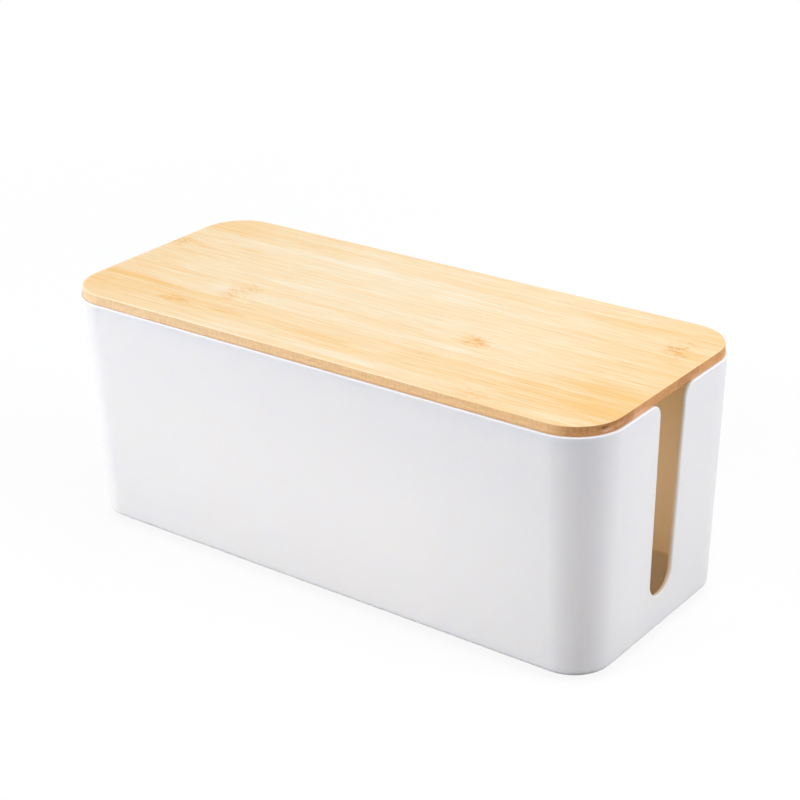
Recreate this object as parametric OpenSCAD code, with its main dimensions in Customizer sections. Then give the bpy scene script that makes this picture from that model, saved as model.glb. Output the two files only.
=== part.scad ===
// Cable management box: a drafted plastic tub with a slot for cables in each
// end, a loose bamboo lid that two strips hold in place, and four rubber feet.
// Millimetres. +X runs along the box, -Y is the front, +Z is up.
// The origin is on the surface that the feet stand on, under the middle of the box.

/* [Tub] */
// Length over the rim
box_l = 320; // [240:5:400]
// Width over the rim
box_w = 135; // [110:1:180]
// Height from the tub's underside to its rim
tub_h = 122; // [90:1:160]
// Plan radius of the rim's corners
corner_r = 25; // [18:0.5:32]
// How far each wall leans in between the rim and the underside
draft = 5; // [2:0.5:8]
// Thickness of the walls, measured level
wall_t = 2.4; // [1.8:0.1:3]
// Thickness of the floor
floor_t = 2.4; // [2:0.1:4]
// Radius of the edge around the underside
base_r = 2; // [1:0.25:3]
// Radius inside, where the walls meet the floor
cove_r = 1; // [1:0.5:5]
// Radius of the rim's outer edge
rim_r = 0.5; // [0.3:0.1:1.2]
// Radius of the rim's inner edge
lip_r = 0.3; // [0.2:0.1:0.5]

/* [Cable slots] */
// Width between the slot's straight sides, carried up to the rim
slot_top_w = 22.6; // [20:0.2:30]
// Width of the slot's round bottom
slot_base_w = 19.6; // [12:0.2:22]
// Height of the slot's lowest point above the tub's underside
slot_z = 18; // [10:1:50]
// Radius that opens the slot's mouth out at the rim
flare_r = 7; // [3:0.5:10]

/* [Lid] */
// Thickness of the lid board
lid_t = 5; // [3:0.5:8]
// How far the board's edge stays inside the rim
lid_inset = 1.2; // [0.4:0.1:1.3]
// Radius of the board's upper edge
lid_top_r = 0.5; // [0.3:0.1:1.2]
// Radius of the board's lower edge
lid_base_r = 0.5; // [0.2:0.1:0.6]

/* [Locating strips] */
// Width of each strip under the lid
strip_w = 10; // [6:0.5:16]
// Depth that each strip reaches down into the tub
strip_t = 5; // [3:0.5:8]
// Play between the strips and the tub's walls
strip_gap = 1; // [0.7:0.1:1.5]

/* [Feet] */
// Diameter of each foot
foot_d = 12; // [8:0.5:18]
// Height of the tub above the surface that the feet stand on
foot_h = 3; // [2:0.5:6]
// Depth of the recess that each foot is stuck into
foot_seat = 0.8; // [0.4:0.1:1.2]
// Play between a foot and the wall of its recess
foot_play = 0.25; // [0.1:0.05:0.4]
// Distance from the underside's edges to the middle of each foot
foot_inset = 19; // [16:0.5:30]
// Radius of the foot's lower edge
foot_edge_r = 0.8; // [0.4:0.1:1.5]

/* [Hidden] */
$fn = 96;

// Cuts run this far past the faces that they open
over = 2;

// The middles of the plan corners: the same at every height, because all the
// walls lean in by the same angle
corner_x = box_l / 2 - corner_r;
corner_y = box_w / 2 - corner_r;

// Angle by which the walls lean away from upright
lean = atan2(draft, tub_h);

// Plan radius of the outer and inner wall faces at a height above the underside
function outer_at(z) = corner_r - draft + z * tan(lean);
function inner_at(z) = outer_at(z) - wall_t;

// Radius at which a fillet's centre lies, for a wall face given by its own radius there
function fillet_x(face, r) = face - r / cos(lean);

// Heights above the surface that the box stands on
base_z = foot_h;
rim_z = base_z + tub_h;

// Slot: half widths, the height of the round bottom's middle, and the lean of
// the straight sides that are tangent to it
slot_r = slot_base_w / 2;
mouth = slot_top_w / 2;
slot_mid_z = slot_z + slot_r;
slot_rise = tub_h - slot_mid_z;
slot_lean = acos(slot_r / norm([mouth, slot_rise])) - atan2(slot_rise, mouth);

// Half width of the slot between its straight sides at a height above the underside
function slot_at(z) = slot_r / cos(slot_lean) + (z - slot_mid_z) * tan(slot_lean);

// Middle of the flare beside the slot's mouth
flare_z = tub_h - flare_r;
flare_y = slot_at(flare_z) + flare_r / cos(slot_lean);

// Where the feet stand
foot_x = box_l / 2 - draft - foot_inset;
foot_y = box_w / 2 - draft - foot_inset;

// A body with four round plan corners. Its children are the profile from the
// corner's middle outwards, and its middle is filled from low to high.
module round_cornered(low, high) {
    for (sx = [0, 1], sy = [0, 1])
        mirror([sx, 0, 0])
            mirror([0, sy, 0])
                translate([corner_x, corner_y, 0])
                    rotate_extrude(angle = 90)
                        children();
    for (sy = [0, 1])
        mirror([0, sy, 0])
            translate([-corner_x, corner_y, 0])
                rotate([90, 0, 90])
                    linear_extrude(2 * corner_x)
                        children();
    for (sx = [0, 1])
        mirror([sx, 0, 0])
            translate([corner_x, corner_y, 0])
                rotate([90, 0, 0])
                    linear_extrude(2 * corner_y)
                        children();
    translate([-corner_x, -corner_y, low])
        cube([2 * corner_x, 2 * corner_y, high - low]);
}

// Section through the tub's outside, from the corner's middle to the wall
module outside_profile() {
    low_x = fillet_x(outer_at(base_r), base_r);
    high_x = fillet_x(outer_at(tub_h - rim_r), rim_r);
    polygon([
        [0, 0],
        [low_x, 0],
        [low_x + base_r * cos(lean), base_r * (1 - sin(lean))],
        [high_x + rim_r * cos(lean), tub_h - rim_r * (1 + sin(lean))],
        [high_x, tub_h],
        [0, tub_h],
    ]);
    translate([low_x, base_r])
        circle(base_r);
    translate([high_x, tub_h - rim_r])
        circle(rim_r);
}

// Section through the tub's hollow, with its cove and the round inner edge of the rim
module hollow_profile() {
    cove_z = floor_t + cove_r;
    cove_x = fillet_x(inner_at(cove_z), cove_r);
    lip_z = tub_h - lip_r;
    lip_x = inner_at(lip_z) + lip_r / cos(lean);
    polygon([
        [0, floor_t],
        [cove_x, floor_t],
        [cove_x + cove_r * cos(lean), cove_z - cove_r * sin(lean)],
        [inner_at(lip_z), lip_z],
        [inner_at(lip_z), tub_h + over],
        [0, tub_h + over],
    ]);
    translate([cove_x, cove_z])
        circle(cove_r);
    difference() {
        translate([inner_at(lip_z) - lip_r, lip_z + lip_r * sin(lean)])
            square([lip_x - inner_at(lip_z) + lip_r, lip_r + over]);
        translate([lip_x, lip_z])
            circle(lip_r);
    }
}

// Section through the tub's wall and floor
module wall_profile() {
    difference() {
        outside_profile();
        hollow_profile();
    }
}

// Outline of a cable slot, seen along X: a round bottom, straight sides that
// open slightly upwards, and a mouth that flares out to the rim
module slot_outline() {
    side_y = slot_r * cos(slot_lean);
    side_z = slot_mid_z - slot_r * sin(slot_lean);
    flare_low_y = flare_y - flare_r * cos(slot_lean);
    flare_low_z = flare_z + flare_r * sin(slot_lean);
    translate([0, slot_mid_z])
        circle(slot_r);
    difference() {
        polygon([
            [-side_y, side_z],
            [side_y, side_z],
            [flare_low_y, flare_low_z],
            [flare_y, flare_low_z],
            [flare_y, tub_h + over],
            [-flare_y, tub_h + over],
            [-flare_y, flare_low_z],
            [-flare_low_y, flare_low_z],
        ]);
        for (side = [-1, 1])
            translate([side * flare_y, flare_z])
                circle(flare_r);
    }
}

// Both slots, cut from inside the hollow to past the outer faces
module slot_cuts() {
    from_x = box_l / 2 - draft - wall_t - over;
    for (end = [0, 1])
        mirror([end, 0, 0])
            translate([from_x, 0, 0])
                rotate([90, 0, 90])
                    linear_extrude(box_l / 2 + over - from_x)
                        slot_outline();
}

// One recess under the floor for each foot
module foot_seats() {
    for (sx = [-1, 1], sy = [-1, 1])
        translate([sx * foot_x, sy * foot_y, -over])
            cylinder(h = over + foot_seat, d = foot_d + 2 * foot_play);
}

module tub() {
    color("whitesmoke")
        translate([0, 0, base_z])
            difference() {
                round_cornered(0, floor_t)
                    wall_profile();
                slot_cuts();
                foot_seats();
            }
}

// Section through the lid board, from the corner's middle to its edge
module lid_profile() {
    edge = corner_r - lid_inset;
    polygon([
        [0, 0],
        [edge - lid_base_r, 0],
        [edge, lid_base_r],
        [edge, lid_t - lid_top_r],
        [edge - lid_top_r, lid_t],
        [0, lid_t],
    ]);
    translate([edge - lid_base_r, lid_base_r])
        circle(lid_base_r);
    translate([edge - lid_top_r, lid_t - lid_top_r])
        circle(lid_top_r);
}

module lid_board() {
    color("burlywood")
        translate([0, 0, rim_z])
            round_cornered(0, lid_t)
                lid_profile();
}

// Plan of the space inside the rim, less the strips' play: a strip's ends follow
// it round the tub's corners, so the strips hold the lid both ways
module strip_limits() {
    limit_r = inner_at(tub_h) - strip_gap;
    square([2 * (corner_x + limit_r), 2 * corner_y], center = true);
    square([2 * corner_x, 2 * (corner_y + limit_r)], center = true);
    for (sx = [-1, 1], sy = [-1, 1])
        translate([sx * corner_x, sy * corner_y])
            circle(limit_r);
}

// A locating strip, glued under the board along one long side:
// side is -1 for the front and 1 for the rear
module locating_strip(side) {
    strip_y = corner_y + inner_at(tub_h) - strip_gap;
    color("tan")
        translate([0, 0, rim_z - strip_t])
            linear_extrude(strip_t)
                intersection() {
                    strip_limits();
                    translate([0, side * (strip_y - strip_w / 2)])
                        square([box_l, strip_w], center = true);
                }
}

// A foot, stuck into its recess: sx and sy are -1 or 1 for its corner
module foot(sx, sy) {
    foot_r = foot_d / 2;
    color("dimgray")
        translate([sx * foot_x, sy * foot_y, 0])
            rotate_extrude() {
                polygon([
                    [0, 0],
                    [foot_r - foot_edge_r, 0],
                    [foot_r, foot_edge_r],
                    [foot_r, foot_h + foot_seat],
                    [0, foot_h + foot_seat],
                ]);
                intersection() {
                    translate([foot_r - foot_edge_r, foot_edge_r])
                        circle(foot_edge_r);
                    square([foot_r, foot_h]);
                }
            }
}

tub();
lid_board();
locating_strip(-1);  // front_locating_strip
locating_strip(1);  // rear_locating_strip
foot(-1, -1);  // front_left_foot
foot(1, -1);  // front_right_foot
foot(-1, 1);  // rear_left_foot
foot(1, 1);  // rear_right_foot
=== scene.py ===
"""Cable management box: a moulded tub, a bamboo lid with two locating strips and four
rubber feet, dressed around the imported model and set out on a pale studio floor."""

import math

import bmesh
import bpy
from mathutils import Matrix, Vector


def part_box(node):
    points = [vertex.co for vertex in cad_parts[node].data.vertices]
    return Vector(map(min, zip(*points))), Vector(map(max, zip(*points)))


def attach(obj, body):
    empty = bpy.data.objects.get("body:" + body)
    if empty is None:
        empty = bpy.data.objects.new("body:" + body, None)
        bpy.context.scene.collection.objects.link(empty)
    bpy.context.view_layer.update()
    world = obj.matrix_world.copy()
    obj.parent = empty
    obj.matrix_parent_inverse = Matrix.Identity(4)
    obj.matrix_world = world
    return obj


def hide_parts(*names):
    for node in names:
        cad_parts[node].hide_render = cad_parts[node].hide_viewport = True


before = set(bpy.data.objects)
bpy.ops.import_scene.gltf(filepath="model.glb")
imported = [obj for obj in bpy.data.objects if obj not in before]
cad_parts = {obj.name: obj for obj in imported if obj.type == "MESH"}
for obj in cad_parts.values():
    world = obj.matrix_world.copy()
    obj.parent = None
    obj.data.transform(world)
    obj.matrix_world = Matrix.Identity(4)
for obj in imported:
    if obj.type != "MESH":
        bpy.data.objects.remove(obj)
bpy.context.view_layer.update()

bl_info = {
    "name": "Cable Management Box",
    "version": (1, 0, 0),
    "blender": (4, 5, 0),
    "location": "3D Viewport > Sidebar > Cable Box",
    "description": "Builds a cable management box with a bamboo lid on a studio floor",
    "category": "Object",
}

MM = 0.001
TUB_LOW, TUB_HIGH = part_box("tub")
LID_LOW, LID_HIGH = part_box("lid_board")
STRIP_NODES = ("front_locating_strip", "rear_locating_strip")
FOOT_NODES = (
    "front_left_foot", "front_right_foot", "rear_left_foot", "rear_right_foot",
)

# Steps round each quarter turn of the tub's plan, along each rounded edge, round each
# corner of a slot's outline, and round a foot's recess
CORNER_STEPS = 28
EDGE_STEPS = 5
OUTLINE_STEPS = 14
RECESS_STEPS = 64
# Cutters run this far past the faces that they open
OVER = 4 * MM
# Vertices this close together are one
WELD = 0.01 * MM
# Edges that turn by more than this stay sharp in the shading
SHARP = math.radians(40)
# On a copied solid, edges that turn by more than this are eased
EASED = math.radians(30)
# Faces that meet at less than this are one
LEVEL = math.radians(1)

# Bamboo strips of the lid from the front to the rear: where each starts across the
# board in millimetres, its tone from 0, pale, to 1, deep, and its sawn end's brightness
BAMBOO_STRIPS = (
    (-67.5, 0.51, 0.90), (-53.0, 0.60, 0.76), (-33.5, 0.43, 0.98), (-15.0, 0.37, 0.95),
    (4.0, 0.38, 0.85), (24.0, 0.32, 0.99), (42.5, 0.46, 0.97),
)
# Tone of a piece of bamboo that is one strip
PLAIN_TONE = 0.45
# Fibres of the bamboo, from broad bands to fine hairs: scale along and across the
# board, weight in the tone, and the noise's detail, roughness and distortion
BROAD_BANDS = (0.007, 0.11, 0.20, 2.0, 0.5, 0.3)
STREAKY_BANDS = (0.011, 0.38, 0.65, 3.0, 0.55, 0.2)
FIBRES = (0.026, 0.95, 1.25, 3.0, 0.6, 0.0)
FINE_FIBRES = (0.045, 1.90, 1.10, 2.0, 0.6, 0.0)
# Each strip takes its fibres from its own stretch of the noise, up to this far along
FIBRE_SHIFT = 900.0
# Soft streaks of the bamboo's figure: middle along and across the board, half length
# and half width in millimetres, and how much deeper (or, below zero, paler) the tone is
BAMBOO_STREAKS = (
    (20, -59.5, 80, 4.0, -0.22), (-55, -60.0, 32, 3.5, -0.14),
    (91, -60.0, 9, 7.0, 0.14), (138, -62.0, 34, 6.0, -0.22),
    (150, -56.0, 14, 3.0, -0.08), (-102, -47.3, 11, 4.2, 0.50),
    (-89, -51.0, 13, 1.6, 0.20), (-70, -44.5, 12, 4.5, 0.10),
    (24, -44.0, 18, 5.0, -0.14), (-8, -46.5, 22, 3.2, 0.14),
    (148, -43.5, 20, 5.0, 0.28), (60, -36.0, 70, 1.2, 0.10),
    (-134, -33.5, 38, 3.2, 0.30), (-90, -23.5, 9, 8.0, -0.26),
    (-77, -24.5, 6, 10.0, 0.16), (-58, -22.0, 14, 6.0, -0.18),
    (35, -22.5, 60, 3.2, -0.20), (140, -24.0, 36, 10.0, 0.30),
    (45, -17.6, 55, 1.0, 0.16), (-58, -0.5, 30, 3.2, -0.20),
    (-130, -13.6, 32, 1.7, 0.20), (-50, -12.8, 38, 1.5, 0.09),
    (56, -9.5, 10, 5.6, 0.40), (60.5, -10.0, 6, 3.4, 0.34), (48, -4.5, 8, 3.0, 0.16),
    (127, -6.2, 18, 2.2, 0.20), (88, -3.5, 15, 5.0, -0.12), (30, 2.6, 22, 3.2, -0.14),
    (-151, 21.0, 14, 2.8, 0.38), (-137, 18.0, 14, 2.4, 0.16),
    (-153, 14.0, 7, 3.2, 0.26), (-142, 7.6, 16, 3.0, 0.20), (-28, 16.4, 78, 1.4, 0.16),
    (-75, 7.2, 34, 1.7, 0.13), (152, 17.5, 12, 5.0, 0.14), (-46, 37.6, 56, 5.0, -0.24),
    (-128, 37.0, 30, 3.5, -0.10), (-108, 27.0, 30, 2.6, 0.12),
    (101, 26.2, 24, 2.6, 0.26), (143, 33.0, 6, 9.5, 0.26), (151, 30.0, 12, 4.5, 0.32),
    (-140, 45.2, 28, 3.4, 0.30), (-58, 56.5, 48, 3.4, -0.24),
    (104, 46.8, 32, 4.8, 0.20), (80, 57.0, 28, 3.8, 0.12), (-90, 50.6, 60, 1.8, 0.10),
    (-20, 64.0, 150, 1.6, 0.12), (35, 47.5, 55, 5.5, 0.20),
)
# Nodes of the culm that cross single strips, drawn as short dark dashes: middle along
# and across the board, half length and half width in millimetres, and strength
BAMBOO_NODES = (
    (59, -9.2, 10, 8.0, 0.75), (143, 34.0, 9, 15.0, 0.85), (-76.5, -22.5, 8, 16.0, 0.7),
    (-155, 18.0, 10, 10.0, 0.65), (91, -60.0, 11, 9.0, 0.5),
    (-101, -46.0, 12, 6.0, 0.5),
)
# A streak, node or mark fades in between these shares of its half size
PATCH_FADE = (1.15, 0.1)
# How far the outlines of the streaks and nodes wander, along and across the board in
# millimetres, and how far those of the marks on the sawn end do
STREAKS_WANDER = (26.0, 6.0)
MARKS_WANDER = 3.0
# How much deeper the tone is along the seams between the strips
SEAM_DEPTH = 0.07
# Marks on the board's sawn right end, and one patch of painted shade: middle across
# the board and above its underside, half width and half height in millimetres, and how
# dark (or, below zero, how chipped)
END_MARKS_AND_SHADE = (
    (-53.2, 3.1, 2.6, 1.3, 0.95), (-46.0, 4.2, 12, 1.0, 0.35),
    (-51.5, 1.5, 4, 1.2, -0.7), (-45.0, 2.0, 6, 0.9, -0.3), (-29.0, 0.6, 9, 2.6, -0.6),
    # The last patch is painted shade, dark along the foot above the right slot
    (-36.5, 1.0, 3, 2.0, -0.2), (21.0, 0.6, 8, 2.0, -0.35), (12.5, 0.0, 5.5, 0.8, 0.95),
)
# How the bamboo's tone drifts along the board, partly its own tone and partly a
# painted sheen that leaves the middle paler: place along it and how much deeper
BAMBOO_DRIFT_AND_SHEEN = (
    (-160, 0.16), (-110, 0.04), (-40, -0.06), (30, -0.05), (90, 0.03), (160, 0.30),
)

# Softboxes: turn about the box from the front and height above the horizon in degrees,
# distance and width in metres, and the setting that holds their power
SOFTBOXES = (
    ("left_softbox", -35, 16, 2.2, 1.375, "left_light"),
    ("right_softbox", 106, 20, 1.6, 1.0, "right_light"),
    ("top_softbox", 135, 76, 1.5, 1.0, "top_light"),
    ("rear_softbox", 196, 8, 1.8, 1.2, "rear_light"),
)
# Height that the softboxes are aimed at
SOFTBOX_AIM = 60 * MM
# Lamps in the hollow, for its long walls and for the cut faces of the slots: width and
# height in metres, and how far their light spreads in degrees
WALL_LAMP = (0.26, 0.07, 130)
SLOT_LAMP = (0.02, 0.10, 90)
# How far the wall lamps hang below the middle of the tub's height, and how far down
# they are turned over one metre
WALL_LAMP_DROP = 8 * MM
WALL_LAMP_DIP = 0.15
# Where the slot lamps hang and what they are aimed at, in metres out along the box and
# across it
SLOT_LAMP_PLACE = (0.138, -0.04)
SLOT_LAMP_AIM = (0.158, 0.01)
# Colour of the light from all round
AMBIENT_TINT = (0.96, 0.98, 1.06)
WHITE = (1.0, 1.0, 1.0)
# Metres from the box's middle: where the floor ends, between which distances it goes
# over to plain white for the camera, and between which it goes from painted shade by
# the box to its colour further out
FLOOR_REACH = 15
FLOOR_WHITENS = (0.3, 1.0)
FLOOR_PALES = (0.15, 0.6)
# Colour with which the floor shows the box's shadow
SHADOW_CATCHER = (0.98, 0.98, 0.98)
# Width of the camera's sensor in millimetres, and what it shows, in metres
SENSOR_WIDTH = 36
CAMERA_REACH = (0.05, 60)


def length(name, description, millimetres):
    """A length that the user can change, given in millimetres."""
    return bpy.props.FloatProperty(
        name=name, description=description, default=millimetres * MM,
        min=0.0, precision=5, unit="LENGTH", subtype="DISTANCE",
    )


def amount(name, description, value, low, high, **kind):
    """A number that the user can change."""
    return bpy.props.FloatProperty(
        name=name, description=description, default=value, min=low, max=high, **kind,
    )


def power(name, description, watts):
    """The power of a lamp that the user can change, given in watts."""
    return amount(name, description, watts, 0, 100, precision=4, unit="POWER")


def turn(name, description, degrees):
    """An angle that the user can change, given in degrees."""
    return bpy.props.FloatProperty(
        name=name, description=description, default=math.radians(degrees),
        unit="ROTATION", subtype="ANGLE",
    )


def colour(name, description, red, green, blue):
    """A colour that the user can change, given as the screen shows it, 0 to 255."""
    return bpy.props.FloatVectorProperty(
        name=name, description=description, size=3, min=0.0, max=1.0,
        default=[linear(part / 255) for part in (red, green, blue)], subtype="COLOR",
    )


def linear(part):
    """The linear value of one part of a screen colour."""
    return part / 12.92 if part <= 0.04045 else ((part + 0.055) / 1.055) ** 2.4


class TubSettings(bpy.types.PropertyGroup):
    """Sizes and colours of the moulded tub"""

    corner: length("Corner radius", "Plan radius of the rim's corners", 25)
    draft: length("Draft", "How far the walls lean in down to the underside", 5)
    wall: length("Wall", "Thickness of the walls, measured level", 2.4)
    floor: length("Floor", "Thickness of the floor", 2.4)
    base_edge: length("Base edge", "Radius of the edge around the underside", 2)
    cove: length("Cove", "Radius inside, where the walls meet the floor", 1)
    rim_edge: length("Outer rim edge", "Radius along the rim and round the slots", 0.5)
    lip_edge: length("Inner rim edge", "Radius of the same edges on the inside", 0.3)
    slot_top: length("Slot width at the rim", "Width between the slot's sides", 22.6)
    slot_base: length("Slot width below", "Width of the slot's round bottom", 19.6)
    slot_height: length("Slot height", "Height of the slot above the underside", 18)
    flare: length("Slot flare", "Radius that opens the slot's mouth out", 7)
    foot_across: length("Foot recess", "Diameter of the recess for each foot", 12.5)
    foot_depth: length("Foot recess depth", "Depth of the recess for each foot", 0.8)
    foot_inset: length("Foot inset", "From the underside's edge to each foot", 19)
    outside: colour("Outside", "Colour of the moulded plastic", 245, 246, 251)
    # Painted warm light: the hollow's colour stands in for the light inside the box
    inside: colour("Inside", "Warm colour of the hollow", 231, 210, 181)


class LidSettings(bpy.types.PropertyGroup):
    """Colours of the bamboo, and the edges of the two strips under the board"""

    pale: colour("Pale bamboo", "The palest fibres", 255, 241, 213)
    mid: colour("Bamboo", "The main tone of the board", 254, 225, 178)
    deep: colour("Deep bamboo", "The darker strips and streaks", 251, 204, 133)
    node: colour("Bamboo node", "The brown dashes at the nodes", 233, 166, 90)
    side: colour("Edge", "The board's planed long edges", 235, 193, 142)
    pale_side: colour("Pale edge", "Their colour towards the left", 235, 204, 162)
    end_grain: colour("End grain", "The board's sawn ends", 209, 154, 101)
    chip: colour("Chips", "Bare wood where the sawn ends are chipped", 226, 183, 153)
    strip_edge: length("Strip edge", "Radius of the locating strips' edges", 0.5)


class FootSettings(bpy.types.PropertyGroup):
    """Colour of the rubber feet"""

    rubber: colour("Rubber", "Colour of the feet", 52, 52, 54)


class StageSettings(bpy.types.PropertyGroup):
    """Camera, lights and floor"""

    azimuth: turn("Azimuth", "Camera's turn about the box from the front", 37.769)
    elevation: turn("Elevation", "Camera's height above the horizon", 24.367)
    roll: turn("Roll", "Camera's turn about its own line of sight", -1.623)
    distance: length("Distance", "From the camera to the box's middle", 982.96)
    aim_height: length("Aim height", "Height that the camera is set out from", 68)
    aside: length("Aside", "Camera's step to its right", 3.916)
    above: length("Above", "Camera's step upwards in its own frame", 12.197)
    focal_length: amount(
        "Focal length", "On a 36 mm sensor", 88.097, 10, 300, unit="CAMERA")
    ambient: amount("Ambient", "Strength of the light from all round", 0.33, 0, 2)
    left_light: power("Left light", "Power of the left softbox", 47.0)
    right_light: power("Right light", "Power of the right softbox", 17.6)
    top_light: power("Top light", "Power of the softbox overhead", 5.5)
    rear_light: power("Rear light", "Power of the softbox behind the box", 12.0)
    inner_light: power("Inner light", "Power of each wall lamp in the hollow", 0.0275)
    slot_light: power("Slot light", "Power of each lamp by a slot", 0.0035)
    # Painted shade: the floor is darker by the box and throws back less light on it
    floor_near: colour("Floor by the box", "Colour of the floor by the box", 70, 71, 75)
    floor_far: colour("Floor", "Colour of the floor further out", 140, 142, 150)
    floor_white: amount(
        "Floor white", "Share of plain white that the camera sees by the box",
        0.88, 0, 1, subtype="FACTOR")


class CableBoxSettings(bpy.types.PropertyGroup):
    """Everything that can be changed on the cable management box"""

    tub: bpy.props.PointerProperty(name="Tub", description="The tub", type=TubSettings)
    lid: bpy.props.PointerProperty(name="Lid", description="The lid", type=LidSettings)
    feet: bpy.props.PointerProperty(
        name="Feet", description="The feet", type=FootSettings)
    stage: bpy.props.PointerProperty(
        name="Stage", description="The stage", type=StageSettings)


class Nodes:
    """The nodes of a material or of the world while they are put together."""

    def __init__(self, tree):
        self.tree = tree

    def new(self, kind, **settings):
        """A new shader node with these settings."""
        node = self.tree.nodes.new("ShaderNode" + kind)
        for name, value in settings.items():
            setattr(node, name, value)
        return node

    def feed(self, socket, value):
        """Links a socket to another one, or sets it to a plain value or colour."""
        if isinstance(value, bpy.types.NodeSocket):
            self.tree.links.new(value, socket)
        elif socket.type == "RGBA":
            socket.default_value = (*value, 1.0)
        else:
            socket.default_value = value

    def fill(self, node, *values):
        """Feeds a node's sockets in their order, and gives its outputs."""
        for socket, value in zip(node.inputs, values):
            self.feed(socket, value)
        return node.outputs

    def maths(self, operation, *values):
        return self.fill(self.new("Math", operation=operation), *values)[0]

    def plus(self, first, second):
        return self.maths("ADD", first, second)

    def minus(self, first, second):
        return self.maths("SUBTRACT", first, second)

    def times(self, first, second):
        return self.maths("MULTIPLY", first, second)

    def larger(self, first, second):
        return self.maths("MAXIMUM", first, second)

    def step(self, value, start, end, low=0.0, high=1.0):
        """Goes smoothly from low to high while the value goes from start to end."""
        node = self.new("MapRange", interpolation_type="SMOOTHSTEP")
        return self.fill(node, value, start, end, low, high)["Result"]

    def distance(self, place):
        """How far a place lies from the origin."""
        return self.fill(self.new("VectorMath", operation="LENGTH"), place)["Value"]

    def blend(self, factor, first, second, kind="MIX"):
        """Mixes two colours, which the Mix node has at its sockets 6 and 7."""
        node = self.new("Mix", data_type="RGBA", blend_type=kind)
        for socket, value in ((0, factor), (6, first), (7, second)):
            self.feed(node.inputs[socket], value)
        return node.outputs[2]

    def shader(self, kind, shade, strength=None):
        """A plain shader of that colour and strength."""
        node = self.new(kind)
        self.feed(node.inputs["Color"], shade)
        if strength is not None:
            self.feed(node.inputs["Strength"], strength)
        return node.outputs[0]

    def cross(self, share, first, second):
        """Goes from the first shader to the second as the share goes from 0 to 1."""
        return self.fill(self.new("MixShader"), share, first, second)[0]

    def background_rays(self):
        """1 for rays that show the background itself or its reflection, else 0."""
        path = self.new("LightPath").outputs
        seen = path["Is Camera Ray"]
        for name in ("Is Glossy Ray", "Is Transmission Ray"):
            seen = self.larger(seen, path[name])
        return seen


class Finish(Nodes):
    """One material of the box. Lengths in it are millimetres."""

    def __init__(self, name, **fixed):
        self.material = bpy.data.materials.new(name)
        self.material.use_nodes = True
        super().__init__(self.material.node_tree)
        self.surface = self.tree.nodes["Principled BSDF"]
        self.set(**fixed)
        coordinates = self.new("TexCoord").outputs
        self.normal = coordinates["Normal"]
        enlarged = self.new("VectorMath", operation="SCALE")
        self.feed(enlarged.inputs["Scale"], 1 / MM)
        self.place = self.fill(enlarged, coordinates["Object"])["Vector"]
        self.x, self.y, self.z = self.split(self.place)

    def set(self, **sockets):
        """Feeds the surface's sockets, which are named with _ for a space."""
        for name, value in sockets.items():
            self.feed(self.surface.inputs[name.replace("_", " ")], value)

    def split(self, vector):
        return self.fill(self.new("SeparateXYZ"), vector)

    def join(self, x, y, z):
        return self.fill(self.new("CombineXYZ"), x, y, z)[0]

    def vector(self, operation, *values):
        return self.fill(self.new("VectorMath", operation=operation), *values)["Vector"]

    def noise(self, vector, scale=1.0, detail=3.0, roughness=0.5, distortion=0.0):
        node = self.new("TexNoise")
        for name, value in (("Vector", vector), ("Scale", scale), ("Detail", detail),
                            ("Roughness", roughness), ("Distortion", distortion)):
            self.feed(node.inputs[name], value)
        return node.outputs["Fac"]

    def grain(self, along, across, shift=0.0, **kind):
        """Noise that is drawn out along X, for whatever follows the fibres."""
        return self.noise(self.join(
            self.times(self.plus(self.x, shift), along),
            self.times(self.y, across), self.times(self.z, across)), **kind)

    def spread(self, noise, low, high):
        """Spreads a noise from low to high: most of it lies between 0.3 and 0.7."""
        return self.step(noise, 0.3, 0.7, low, high)

    def swing(self, noise, width):
        """Swings to both sides of 0, as a noise does to both sides of a half."""
        return self.times(self.minus(noise, 0.5), width)

    def ramp(self, factor, stops, interpolation="LINEAR"):
        """A colour ramp: each stop is a place from 0 to 1 and a grey or a colour."""
        node = self.new("ValToRGB")
        node.color_ramp.interpolation = interpolation
        elements = node.color_ramp.elements
        while len(elements) < len(stops):
            elements.new(1.0)
        for element, (place, shade) in zip(elements, stops):
            element.position = place
            shade = (shade,) * 3 if isinstance(shade, (int, float)) else shade
            element.color = (*shade, 1.0)
        self.feed(node.inputs["Fac"], factor)
        return node.outputs["Color"]

    def profile(self, value, low, high, stops, interpolation="LINEAR"):
        """A ramp from low to high, whose stops are given in millimetres."""
        share = self.maths("DIVIDE", self.minus(value, low), high - low)
        stops = [((place - low) / (high - low), shade) for place, shade in stops]
        return self.ramp(share, stops, interpolation)

    def bump(self, height, depth):
        """Raises the surface by depth millimetres where the height is 1."""
        node = self.new("Bump")
        self.feed(node.inputs["Distance"], depth * MM)
        self.feed(node.inputs["Height"], height)
        self.set(Normal=node.outputs[0])


def wall_slope(tub):
    """How far the tub's walls lean out for each metre of height."""
    return tub.draft / (TUB_HIGH.z - TUB_LOW.z)


def plan_reach(finish, tub):
    """How far out a place lies from the middles of the box's plan corners."""
    past = []
    for value, high in ((finish.x, TUB_HIGH.x), (finish.y, TUB_HIGH.y)):
        value = finish.minus(finish.maths("ABSOLUTE", value), (high - tub.corner) / MM)
        past.append(finish.larger(value, 0.0))
    return finish.distance(finish.join(*past, 0.0))


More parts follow.
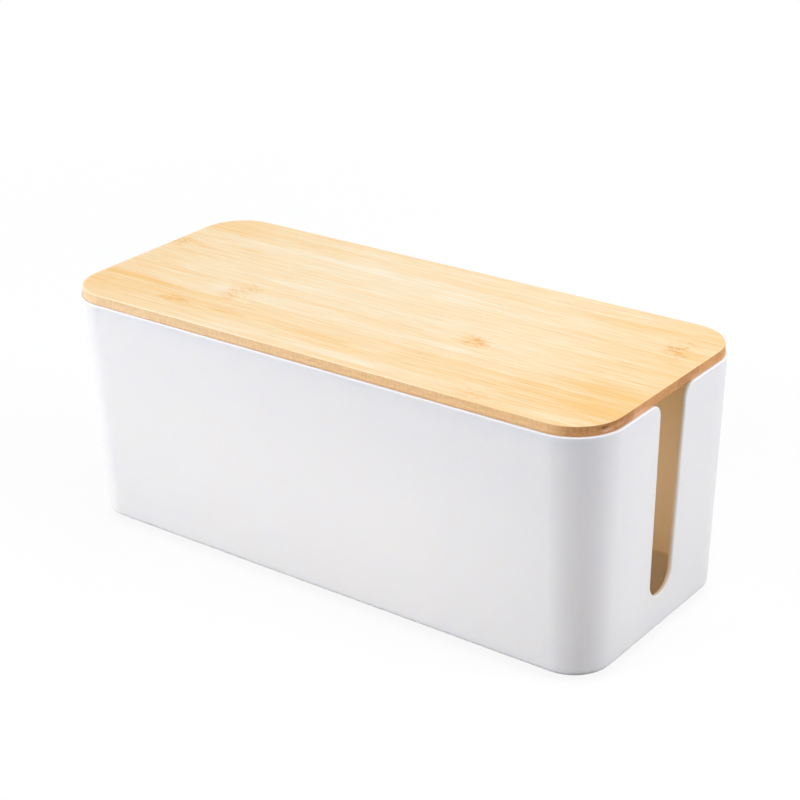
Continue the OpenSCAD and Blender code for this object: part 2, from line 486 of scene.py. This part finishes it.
def plastic(tub):
    """Satin moulded plastic, white outside and painted warm light inside the hollow."""
    finish = Finish("satin_plastic", Specular_IOR_Level=0.3,
                    Subsurface_Radius=(1, 0.94, 0.8), Subsurface_Scale=5 * MM)
    above_rim = finish.minus(finish.z, TUB_HIGH.z / MM)
    above_base = finish.minus(finish.z, TUB_LOW.z / MM)
    # Painted warm light: the colour turns warm within the thickness of the walls and
    # of the floor, standing in for the light in the closed hollow
    face = finish.maths("MULTIPLY_ADD", above_rim, wall_slope(tub), tub.corner / MM)
    depth = finish.minus(face, plan_reach(finish, tub))
    floor = tub.floor / MM
    warm = finish.times(finish.step(depth, 0.1, tub.wall / MM - 0.5),
                        finish.step(above_base, floor / 2, floor - 0.2))
    base = finish.blend(warm, tub.outside, tub.inside)
    drift = finish.noise(finish.place, scale=0.012, detail=2.0)
    drift = finish.ramp(drift, ((0.3, 0.985), (0.7, 1.0)))
    satin = finish.noise(finish.place, scale=2.2, roughness=0.6)
    patchy = finish.noise(finish.place, scale=0.05)
    finish.set(
        Base_Color=finish.blend(1.0, base, drift, "MULTIPLY"),
        Roughness=finish.plus(
            finish.spread(patchy, 0.36, 0.44), finish.times(satin, 0.06)),
        # Without scattered light the rim's rounded edge keeps its crisp highlight
        Subsurface_Weight=finish.step(above_rim, -1.0, -0.4, 1.0, 0.0),
    )
    finish.bump(satin, 0.012)
    return finish.material


def soft_patch(finish, place, x, y, half_x, half_y, depth):
    """Goes smoothly from 0 up to depth in the middle of an oval patch."""
    scaled = finish.vector("MULTIPLY_ADD", place, (1 / half_x, 1 / half_y, 0),
                           (-x / half_x, -y / half_y, 0))
    return finish.step(finish.distance(scaled), *PATCH_FADE, 0.0, depth)


def bamboo_figure(finish, tone):
    """Adds streaks, a drift partly of painted sheen, seams, then nodes to the tone."""
    wander_x, wander_y = STREAKS_WANDER
    ragged_x = finish.grain(0.05, 0.35, roughness=0.6)
    ragged_y = finish.grain(0.02, 0.12, 40, detail=2.0)
    place = finish.join(finish.plus(finish.x, finish.swing(ragged_x, wander_x)),
                        finish.plus(finish.y, finish.swing(ragged_y, wander_y)), 0.0)
    figure = 0.0
    for streak in BAMBOO_STREAKS:
        figure = finish.plus(figure, soft_patch(finish, place, *streak))
    uneven = finish.grain(0.02, 0.8, 300, roughness=0.6)
    tone = finish.plus(tone, finish.times(figure, finish.spread(uneven, 0.55, 1.45)))
    # The drift is partly painted sheen. A ramp can't go below 0, so it is lifted by a
    # half and let down again
    drift = finish.profile(finish.x, BAMBOO_DRIFT_AND_SHEEN[0][0], BAMBOO_DRIFT_AND_SHEEN[-1][0],
                           [(x, deeper + 0.5) for x, deeper in BAMBOO_DRIFT_AND_SHEEN])
    tone = finish.plus(tone, finish.minus(drift, 0.5))
    for start, *_ in BAMBOO_STRIPS[1:]:
        gap = finish.maths("ABSOLUTE", finish.minus(finish.y, start))
        tone = finish.plus(tone, finish.step(gap, 0.5, 0.1, 0.0, SEAM_DEPTH))
    marks = 0.0
    for node in BAMBOO_NODES:
        marks = finish.larger(marks, soft_patch(finish, place, *node))
    dashes = finish.grain(0.34, 0.95, detail=2.0, distortion=0.2)
    return tone, finish.times(marks, finish.step(dashes, 0.50, 0.60))


def by_strip(finish, values):
    """One value for each of the board's strips."""
    front = BAMBOO_STRIPS[0][0]
    stops = [(start, value) for (start, *_), value in zip(BAMBOO_STRIPS, values)]
    return finish.profile(finish.y, front, -front, stops, "CONSTANT")


def bamboo_tone(finish, figured):
    """How deep the bamboo's tone is at each place, its node marks, and its fibres."""
    tone, shift, marks = PLAIN_TONE, 0.0, 0.0
    if figured:
        tone = by_strip(finish, [tone for _, tone, _ in BAMBOO_STRIPS])
        # Shares from 0 to 1 that lie well apart from one strip to the next
        scattered = [(37 * i % 97) / 97 for i in range(len(BAMBOO_STRIPS))]
        shift = finish.times(by_strip(finish, scattered), FIBRE_SHIFT)
    for layer in (BROAD_BANDS, STREAKY_BANDS, FIBRES, FINE_FIBRES):
        along, across, weight, detail, roughness, distortion = layer
        noise = finish.grain(along, across, shift, detail=detail, roughness=roughness,
                             distortion=distortion)
        tone = finish.plus(tone, finish.swing(noise, weight))
        if layer is FIBRES:
            fibres = noise
    if figured:
        tone, marks = bamboo_figure(finish, tone)
    return tone, marks, fibres


def end_marks_and_shade(finish):
    """How dark and chipped the sawn right end is; one dark patch is painted shade."""
    ragged = finish.swing(finish.grain(0.2, 0.8, 60, roughness=0.6), MARKS_WANDER)
    height = finish.minus(finish.z, LID_LOW.z / MM)
    place = finish.join(finish.plus(finish.y, ragged), finish.plus(height, ragged), 0.0)
    right = finish.step(finish.x, 140, 150)
    dark = chipped = 0.0
    for *patch, depth in END_MARKS_AND_SHADE:
        mark = finish.times(soft_patch(finish, place, *patch, abs(depth)), right)
        if depth > 0:
            dark = finish.larger(dark, mark)
        else:
            chipped = finish.larger(chipped, mark)
    return dark, chipped


def bamboo_edge(finish, lid, figured, sawn):
    """The colour of the board's edge: streaked long sides and darker, mottled ends."""
    pores = finish.grain(0.12, 1.1, roughness=0.65)
    layers = finish.noise(
        finish.vector("MULTIPLY", finish.place, (0.05, 0.05, 0.9)), detail=2.0)
    ticks = finish.noise(
        finish.vector("MULTIPLY", finish.place, (1.1, 0.3, 0.25)),
        detail=2.0, roughness=0.6)
    darkest = finish.maths("MULTIPLY_ADD", sawn, -0.07, 0.96)
    grain = finish.times(finish.step(pores, 0.36, 0.62, darkest, 1.04),
                         finish.spread(layers, 0.97, 1.03))
    grain = finish.times(grain, finish.step(ticks, 0.38, 0.58, 0.95, 1.03))
    side, chipped = lid.side, 0.0
    if figured:
        side = finish.blend(finish.step(finish.x, -150, 130), lid.pale_side, side)
        # Each strip's sawn end has its own brightness
        ends = by_strip(finish, [end for _, _, end in BAMBOO_STRIPS])
        grain = finish.times(grain, finish.maths(
            "MULTIPLY_ADD", sawn, finish.minus(ends, 1.0), 1.0))
        # Painted shade: the long sides darken along their foot, down by the rim, more
        # so towards the right
        lowest = finish.step(finish.x, -140, -40, 1.0, 0.80)
        foot = finish.step(finish.z, LID_LOW.z / MM, LID_LOW.z / MM + 1.1, lowest, 1.0)
        grain = finish.times(grain, finish.larger(foot, sawn))
        # Dark marks on the sawn right end, one of them painted shade, and chips
        dark, chipped = end_marks_and_shade(finish)
        grain = finish.times(grain, finish.maths("MULTIPLY_ADD", dark, -0.55, 1.0))
    # What is darker is also warmer
    grain = finish.join(
        grain, finish.maths("POWER", grain, 1.3), finish.maths("POWER", grain, 1.6))
    edge = finish.blend(sawn, side, lid.end_grain)
    edge = finish.blend(1.0, edge, grain, "MULTIPLY")
    return finish.blend(chipped, edge, lid.chip)


def painted_edge_highlight(finish, tub):
    """How strong a painted highlight along the upper edge is, most towards the left."""
    edge = (LID_HIGH.x - TUB_HIGH.x + tub.corner) / MM
    edge_highlight = finish.step(plan_reach(finish, tub), edge - 1.9, edge - 0.5)
    edge_highlight = finish.times(edge_highlight, finish.step(finish.x, 60, -120, 0.2, 0.6))
    return finish.times(edge_highlight, finish.step(finish.x, 150, 125))


def bamboo(name, lid, tub, figured, **fixed):
    """Bamboo, with the board's strips and nodes if figured, else one plain strip."""
    finish = Finish(name, **fixed)
    tone, marks, fibres = bamboo_tone(finish, figured)
    top = finish.ramp(tone, ((0.0, lid.pale), (0.5, lid.mid), (1.0, lid.deep)))
    top = finish.blend(finish.times(marks, 0.85), top, lid.node)
    vessels = finish.grain(0.045, 1.0, 500, roughness=0.7)
    vessels = finish.ramp(vessels, ((0.34, 0.925), (0.56, 1.0)))
    top = finish.blend(1.0, top, vessels, "MULTIPLY")
    if figured:
        # A painted highlight along the top's upper edge
        top = finish.blend(painted_edge_highlight(finish, tub), top, lid.pale)
    # The top's look reaches halfway round the upper edge, and the underside's hardly
    # round the lower one. The sawn look reaches further round the right end's corners
    # than round the left end's, which leaves the left corner paler as painted light.
    turned, _, upward = finish.split(finish.normal)
    flat = finish.larger(upward, finish.maths("MULTIPLY_ADD", upward, -5, -4))
    side = finish.step(flat, 0.7, 0.35)
    sawn = finish.larger(finish.step(turned, -0.12, 0.64),
                         finish.step(turned, -0.7, -1.0))
    finish.set(
        Base_Color=finish.blend(side, top, bamboo_edge(finish, lid, figured, sawn)),
        Roughness=finish.spread(fibres, 0.62, 0.54),
    )
    finish.bump(finish.minus(fibres, finish.times(marks, 0.6)), 0.03)
    return finish.material


def rubber(feet):
    """Matte black rubber with a fine grain."""
    finish = Finish("matte_rubber", Specular_IOR_Level=0.35)
    grain = finish.noise(finish.place, scale=3.0, roughness=0.6)
    darker = [part * 0.7 for part in feet.rubber]
    finish.set(
        Base_Color=finish.ramp(grain, ((0.3, darker), (0.7, feet.rubber))),
        Roughness=finish.spread(grain, 0.72, 0.86),
    )
    finish.bump(grain, 0.03)
    return finish.material


def in_scene(name, data):
    """Makes a mesh, a lamp or a camera an object of the scene."""
    thing = bpy.data.objects.new(name, data)
    bpy.context.scene.collection.objects.link(thing)
    return thing


def from_bmesh(name, bm):
    """Makes a bmesh an object of the scene and frees it."""
    mesh = bpy.data.meshes.new(name)
    bm.to_mesh(mesh)
    bm.free()
    return in_scene(name, mesh)


def weld(bm, reach=WELD):
    """Merges the vertices that lie within reach of each other."""
    bmesh.ops.remove_doubles(bm, verts=bm.verts, dist=reach)


def round_off(bm, geom, radius, steps=EDGE_STEPS, affect="EDGES", clamp=False):
    """Rounds edges, or the corners of a flat outline."""
    bmesh.ops.bevel(
        bm, geom=geom, offset=radius, offset_type="OFFSET", segments=steps,
        profile=0.5, affect=affect, clamp_overlap=clamp, material=-1)


def cut_away(piece, cutters):
    """Takes the cutters' solids out of a piece, and removes the cutters."""
    for cutter in cutters:
        cut = piece.modifiers.new("cut", "BOOLEAN")
        cut.operation, cut.solver, cut.object = "DIFFERENCE", "EXACT", cutter
    evaluated = piece.evaluated_get(bpy.context.evaluated_depsgraph_get())
    mesh = bpy.data.meshes.new_from_object(evaluated)
    piece.modifiers.clear()
    piece.data = mesh
    for cutter in cutters:
        bpy.data.objects.remove(cutter)


def smooth_faces(bm):
    """Shades all faces smooth, apart from their sharp edges."""
    for face in bm.faces:
        face.smooth = True
    for edge in bm.edges:
        edge.smooth = edge.calc_face_angle(0.0) < SHARP


def even_normals(piece):
    """Lets the wide flat faces rule the shading next to their rounded edges."""
    weighted = piece.modifiers.new("even_normals", "WEIGHTED_NORMAL")
    weighted.keep_sharp = True


def swept_tub(tub):
    """The tub without its slots: one wall section swept round its plan."""
    middle_x, middle_y = TUB_HIGH.x - tub.corner, TUB_HIGH.y - tub.corner
    outer_low, outer_high = tub.corner - tub.draft, tub.corner
    inner_low = outer_low + tub.floor * wall_slope(tub) - tub.wall
    inner_high = outer_high - tub.wall
    bm = bmesh.new()
    section = [bm.verts.new((middle_x + reach, middle_y, height)) for reach, height in (
        (outer_low, TUB_LOW.z), (outer_high, TUB_HIGH.z),
        (inner_high, TUB_HIGH.z), (inner_low, TUB_LOW.z + tub.floor))]
    last = section + [bm.edges.new(pair) for pair in zip(section, section[1:])]
    # Round each corner, then straight on to the next one
    for side_x, side_y, step_x, step_y in (
        (1, 1, -1, 0), (-1, 1, 0, -1), (-1, -1, 1, 0), (1, -1, 0, 1),
    ):
        last = bmesh.ops.spin(
            bm, geom=last, cent=(side_x * middle_x, side_y * middle_y, 0),
            axis=(0, 0, 1), angle=math.pi / 2, steps=CORNER_STEPS,
            use_merge=False)["geom_last"]
        edges = [e for e in last if isinstance(e, bmesh.types.BMEdge)]
        moved = bmesh.ops.extrude_edge_only(bm, edges=edges)["geom"]
        verts = [v for v in moved if isinstance(v, bmesh.types.BMVert)]
        way = Vector((step_x * 2 * middle_x, step_y * 2 * middle_y, 0))
        bmesh.ops.translate(bm, verts=verts, vec=way)
        last = verts + [e for e in moved if isinstance(e, bmesh.types.BMEdge)
                        and all(v in verts for v in e.verts)]
    weld(bm)
    bmesh.ops.holes_fill(bm, edges=[e for e in bm.edges if e.is_boundary], sides=0)
    bmesh.ops.recalc_face_normals(bm, faces=bm.faces)
    for height, radius in (
        (TUB_LOW.z, tub.base_edge), (TUB_LOW.z + tub.floor, tub.cove),
    ):
        loop = [e for e in bm.edges
                if all(abs(v.co.z - height) < WELD for v in e.verts)]
        round_off(bm, loop, radius, steps=2 * EDGE_STEPS)
    return from_bmesh("moulded_tub", bm)


def slot_cutter(tub, side):
    """A solid the shape of one cable slot, through the end wall on that side."""
    low, high = TUB_LOW.z + tub.slot_height, TUB_HIGH.z
    bottom_r, mouth_y = tub.slot_base / 2, tub.slot_top / 2
    flare_y = mouth_y + tub.flare
    # The sides lean so that they run into the round bottom without a bend
    rise = high - low - bottom_r
    lean = math.acos(bottom_r / math.hypot(mouth_y, rise)) - math.atan2(rise, mouth_y)
    low_y = bottom_r * (1 - math.sin(lean)) / math.cos(lean)
    outline = [(-low_y, low), (low_y, low), (mouth_y, high), (flare_y, high),
               (flare_y, high + OVER)]
    outline += [(-y, z) for y, z in outline[:1:-1]]
    bm = bmesh.new()
    near = side * (TUB_HIGH.x - tub.draft - tub.wall - OVER)
    face = bm.faces.new([bm.verts.new((near, y, z)) for y, z in outline])
    verts = list(face.verts)
    bottom, mouth = verts[:2], (verts[2], verts[-1])
    for corners, radius in ((bottom, low_y), (mouth, tub.flare)):
        round_off(bm, corners, radius - WELD, steps=OUTLINE_STEPS, affect="VERTICES")
    moved = bmesh.ops.extrude_face_region(bm, geom=bm.faces[:])["geom"]
    verts = [v for v in moved if isinstance(v, bmesh.types.BMVert)]
    reach = tub.draft + tub.wall + 2 * OVER
    bmesh.ops.translate(bm, verts=verts, vec=(side * reach, 0, 0))
    weld(bm, 5 * WELD)
    bmesh.ops.recalc_face_normals(bm, faces=bm.faces)
    return from_bmesh("slot_cutter", bm)


def foot_recess_cutter(tub, side_x, side_y):
    """A disc the shape of the recess for one foot."""
    bm = bmesh.new()
    x = side_x * (TUB_HIGH.x - tub.draft - tub.foot_inset)
    y = side_y * (TUB_HIGH.y - tub.draft - tub.foot_inset)
    depth = tub.foot_depth + OVER
    place = Matrix.Translation((x, y, TUB_LOW.z - OVER + depth / 2))
    radius = tub.foot_across / 2
    bmesh.ops.create_cone(
        bm, cap_ends=True, segments=RECESS_STEPS, radius1=radius, radius2=radius,
        depth=depth, matrix=place)
    return from_bmesh("foot_recess_cutter", bm)


def wall_depth(tub, point):
    """How far a point lies inside the tub's outer wall face, measured level."""
    reach = Vector((max(abs(point.x) - TUB_HIGH.x + tub.corner, 0),
                    max(abs(point.y) - TUB_HIGH.y + tub.corner, 0))).length
    return tub.corner - (TUB_HIGH.z - point.z) * wall_slope(tub) - reach


def round_rim(tub, piece):
    """Rounds the rim and, in one run with it, the edges of both slots."""
    bm = bmesh.new()
    bm.from_mesh(piece.data)
    weld(bm)
    above_recesses = TUB_LOW.z + tub.slot_height / 2
    for depth, radius in ((0.0, tub.rim_edge), (tub.wall, tub.lip_edge)):
        on_wall = {v for v in bm.verts if abs(wall_depth(tub, v.co) - depth) < 2 * WELD}
        wall_faces = {f for f in bm.faces if on_wall.issuperset(f.verts)}
        edges = [e for e in bm.edges if on_wall.issuperset(e.verts)
                 and all(v.co.z > above_recesses for v in e.verts)
                 and sum(f in wall_faces for f in e.link_faces) == 1]
        round_off(bm, edges, radius)
    smooth_faces(bm)
    bm.to_mesh(piece.data)
    bm.free()


def eased_copy(node, radius):
    """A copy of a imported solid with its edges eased."""
    bm = bmesh.new()
    bm.from_mesh(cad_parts[node].data)
    weld(bm)
    bmesh.ops.dissolve_limit(bm, angle_limit=LEVEL, verts=bm.verts, edges=bm.edges)
    edges = [e for e in bm.edges if e.calc_face_angle(0.0) > EASED]
    round_off(bm, edges, radius, clamp=True)
    smooth_faces(bm)
    return from_bmesh("eased_" + node, bm)


def finish_piece(piece, material, body, slot, *nodes):
    """Gives a new piece its material and body, and hides its nodes. Slot is not used.
    """
    piece.data.materials.clear()
    piece.data.materials.append(material)
    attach(piece, body)
    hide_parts(*nodes)


def finish_node(node, material):
    """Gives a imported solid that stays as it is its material."""
    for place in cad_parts[node].material_slots:
        place.material = material


class CABLEBOX_OT_tub(bpy.types.Operator):
    """Mould the drafted tub with a cable slot in each end"""

    bl_idname = "cable_box.tub"
    bl_label = "Tub"

    def execute(self, context):
        tub = context.scene.cable_box.tub
        piece = swept_tub(tub)
        cutters = [slot_cutter(tub, side) for side in (-1, 1)]
        cutters += [foot_recess_cutter(tub, side_x, side_y)
                    for side_x in (-1, 1) for side_y in (-1, 1)]
        cut_away(piece, cutters)
        round_rim(tub, piece)
        even_normals(piece)
        finish_piece(piece, plastic(tub), "box", "white_plastic", "tub")
        return {"FINISHED"}


class CABLEBOX_OT_lid_board(bpy.types.Operator):
    """Finish the lid board in flat-pressed bamboo"""

    bl_idname = "cable_box.lid_board"
    bl_label = "Lid board"

    def execute(self, context):
        box = context.scene.cable_box
        finish_node("lid_board", bamboo(
            "lacquered_bamboo", box.lid, box.tub, True, Specular_IOR_Level=0.3))
        return {"FINISHED"}


class CABLEBOX_OT_locating_strips(bpy.types.Operator):
    """Shape the two bamboo strips that hold the lid in place"""

    bl_idname = "cable_box.locating_strips"
    bl_label = "Locating strips"

    def execute(self, context):
        box = context.scene.cable_box
        material = bamboo("sanded_bamboo", box.lid, box.tub, False)
        for node in STRIP_NODES:
            piece = eased_copy(node, box.lid.strip_edge)
            even_normals(piece)
            finish_piece(piece, material, "lid", "bamboo_strip", node)
        return {"FINISHED"}


class CABLEBOX_OT_feet(bpy.types.Operator):
    """Finish the four stick-on feet in rubber"""

    bl_idname = "cable_box.feet"
    bl_label = "Feet"

    def execute(self, context):
        material = rubber(context.scene.cable_box.feet)
        for node in FOOT_NODES:
            finish_node(node, material)
        return {"FINISHED"}


def studio_world(stage):
    """Even light from all round, in front of a white background."""
    world = bpy.data.worlds.new("studio")
    world.use_nodes = True
    nodes = Nodes(world.node_tree)
    nodes.tree.nodes.remove(nodes.tree.nodes["Background"])
    even = nodes.shader("Background", AMBIENT_TINT, stage.ambient)
    white = nodes.shader("Background", WHITE, 1.0)
    nodes.feed(nodes.tree.nodes["World Output"].inputs["Surface"],
               nodes.cross(nodes.background_rays(), even, white))
    bpy.context.scene.world = world


def studio_floor(stage):
    """A wide pale floor that keeps the box's shadow and is white to the camera."""
    bm = bmesh.new()
    bmesh.ops.create_grid(bm, x_segments=1, y_segments=1, size=FLOOR_REACH)
    floor = from_bmesh("studio_floor", bm)
    material = bpy.data.materials.new("studio_floor")
    material.use_nodes = True
    nodes = Nodes(material.node_tree)
    nodes.tree.nodes.remove(nodes.tree.nodes["Principled BSDF"])
    away = nodes.distance(nodes.new("TexCoord").outputs["Object"])
    # The light meets a grey floor, darker by the box as painted shade; the camera sees
    # a white one with the shadow on it
    grey = nodes.blend(
        nodes.step(away, *FLOOR_PALES), stage.floor_near, stage.floor_far)
    shown = nodes.cross(
        nodes.step(away, *FLOOR_WHITENS, stage.floor_white, 1.0),
        nodes.shader("BsdfDiffuse", SHADOW_CATCHER),
        nodes.shader("Emission", WHITE, 1.0))
    nodes.feed(nodes.tree.nodes["Material Output"].inputs["Surface"], nodes.cross(
        nodes.background_rays(), nodes.shader("BsdfDiffuse", grey), shown))
    floor.data.materials.append(material)


def softbox(name, azimuth, elevation, distance, size, watts):
    """A square lamp that faces the box, and that nothing mirrors: azimuth 0 is in
    front, 90 to the right."""
    lamp = bpy.data.lights.new(name, "AREA")
    lamp.shape, lamp.size, lamp.energy = "SQUARE", size, watts
    light = in_scene(name, lamp)
    azimuth, elevation = math.radians(azimuth), math.radians(elevation)
    back = Vector((math.sin(azimuth) * math.cos(elevation),
                   -math.cos(azimuth) * math.cos(elevation), math.sin(elevation)))
    light.location = Vector((0, 0, SOFTBOX_AIM)) + back * distance
    light.rotation_euler = back.to_track_quat("Z", "Y").to_euler()
    light.visible_glossy = False


def inner_lamp(name, place, target, width, height, spread, watts):
    """An upright lamp inside the hollow, out of the camera's sight."""
    lamp = bpy.data.lights.new(name, "AREA")
    lamp.shape, lamp.energy = "RECTANGLE", watts
    lamp.size, lamp.size_y = width, height
    lamp.spread = math.radians(spread)
    light = in_scene(name, lamp)
    light.location = place
    away = light.location - Vector(target)
    light.rotation_euler = away.to_track_quat("Z", "Y").to_euler()
    light.visible_camera = light.visible_glossy = False


def inner_lamps(stage):
    """Two lamps that light the long walls, and one for each slot's cut faces."""
    middle = (TUB_LOW.z + TUB_HIGH.z) / 2
    low = middle - WALL_LAMP_DROP
    for name, side in (("front_inner_lamp", -1), ("rear_inner_lamp", 1)):
        target = (0, side, low - WALL_LAMP_DIP)
        inner_lamp(name, (0, 0, low), target, *WALL_LAMP, stage.inner_light)
    for name, side in (("left_slot_lamp", -1), ("right_slot_lamp", 1)):
        place, target = ((side * out, across, middle)
                         for out, across in (SLOT_LAMP_PLACE, SLOT_LAMP_AIM))
        inner_lamp(name, place, target, *SLOT_LAMP, stage.slot_light)


def studio_camera(stage):
    """The camera at its viewing angle."""
    camera = in_scene("camera", bpy.data.cameras.new("camera"))
    camera.data.sensor_width, camera.data.lens = SENSOR_WIDTH, stage.focal_length
    camera.data.clip_start, camera.data.clip_end = CAMERA_REACH
    aim = (Matrix.Rotation(stage.azimuth, 4, "Z")
           @ Matrix.Rotation(math.pi / 2 - stage.elevation, 4, "X")
           @ Matrix.Rotation(stage.roll, 4, "Z"))
    step = aim @ Vector((stage.aside, stage.above, stage.distance))
    start = Vector((0, 0, stage.aim_height))
    camera.matrix_world = Matrix.Translation(start + step) @ aim
    bpy.context.scene.camera = camera


class CABLEBOX_OT_stage(bpy.types.Operator):
    """Set out the camera, the soft lights and the pale floor"""

    bl_idname = "cable_box.stage"
    bl_label = "Stage"

    def execute(self, context):
        stage = context.scene.cable_box.stage
        studio_camera(stage)
        studio_world(stage)
        studio_floor(stage)
        for *layout, setting in SOFTBOXES:
            softbox(*layout, getattr(stage, setting))
        inner_lamps(stage)
        context.scene.view_settings.view_transform = "Standard"
        return {"FINISHED"}


class CABLEBOX_PT_panel(bpy.types.Panel):
    """Lists the box's pieces and their settings in the sidebar"""

    bl_idname = "CABLEBOX_PT_panel"
    bl_label = "Cable Management Box"
    bl_space_type = "VIEW_3D"
    bl_region_type = "UI"
    bl_category = "Cable Box"

    def draw(self, context):
        settings = context.scene.cable_box
        for operators, group in (
            ((CABLEBOX_OT_tub,), settings.tub),
            ((CABLEBOX_OT_lid_board, CABLEBOX_OT_locating_strips), settings.lid),
            ((CABLEBOX_OT_feet,), settings.feet),
            ((CABLEBOX_OT_stage,), settings.stage),
        ):
            box = self.layout.box()
            for operator in operators:
                box.operator(operator.bl_idname)
            for name in group.__annotations__:
                box.prop(group, name)


CLASSES = (
    TubSettings, LidSettings, FootSettings, StageSettings, CableBoxSettings,
    CABLEBOX_OT_tub, CABLEBOX_OT_lid_board, CABLEBOX_OT_locating_strips,
    CABLEBOX_OT_feet, CABLEBOX_OT_stage, CABLEBOX_PT_panel,
)


def register():
    for each in CLASSES:
        bpy.utils.register_class(each)
    bpy.types.Scene.cable_box = bpy.props.PointerProperty(
        name="Cable management box", description="Sizes and colours of the box",
        type=CableBoxSettings)


def unregister():
    del bpy.types.Scene.cable_box
    for each in reversed(CLASSES):
        bpy.utils.unregister_class(each)


def main():
    register()
    bpy.ops.cable_box.tub()
    bpy.ops.cable_box.lid_board()
    bpy.ops.cable_box.locating_strips()
    bpy.ops.cable_box.feet()
    bpy.ops.cable_box.stage()


if __name__ == "__main__":
    main()
